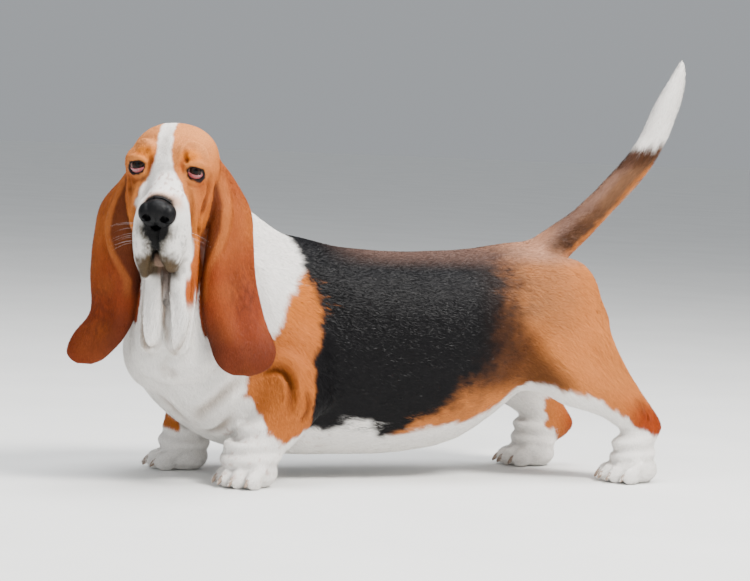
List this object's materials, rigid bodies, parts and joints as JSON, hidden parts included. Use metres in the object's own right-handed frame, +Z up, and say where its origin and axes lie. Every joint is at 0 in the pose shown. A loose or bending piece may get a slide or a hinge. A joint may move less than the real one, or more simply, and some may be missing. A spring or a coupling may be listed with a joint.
{
  "type": "basset hound",
  "caption": "Life-size still basset hound, standing with its head turned to its left, long ears hanging and tail raised.",
  "frame": {"origin": "on the floor, under the middle of the hound's box", "axes": "+Z up, the hound faces -X and its left side is towards -Y"},
  "size_m": [1.0344, 0.3908, 0.6631],
  "materials": {
    "coat_tan": "short flat orange tan hair",
    "coat_white": "short flat white hair",
    "coat_black": "short glossy black hair",
    "coat_mahogany": "short soft red brown hair",
    "nose_leather": "moist black pebbled nose leather",
    "eye": "wet dark brown eye",
    "claw": "dull horn",
    "skin": "bare dark lid and lip skin"
  },
  "bodies": {
    "root": {"head": "coat_tan", "lower_jaw": "coat_white", "nose": "nose_leather", "eye_left": "eye", "eye_right": "eye", "ear_left": "coat_mahogany", "ear_right": "coat_mahogany", "neck": "coat_white", "chest": "coat_white", "barrel": "coat_black", "rump": "coat_tan", "tail_base": "coat_mahogany", "tail_tip": "coat_white", "foreleg_left": "coat_white", "foreleg_right": "coat_white", "forefoot_left": "coat_white", "forefoot_right": "coat_white", "thigh_left": "coat_tan", "thigh_right": "coat_tan", "shank_left": "coat_tan", "shank_right": "coat_tan", "hindfoot_left": "coat_white", "hindfoot_right": "coat_white"}
  },
  "joints": []
}
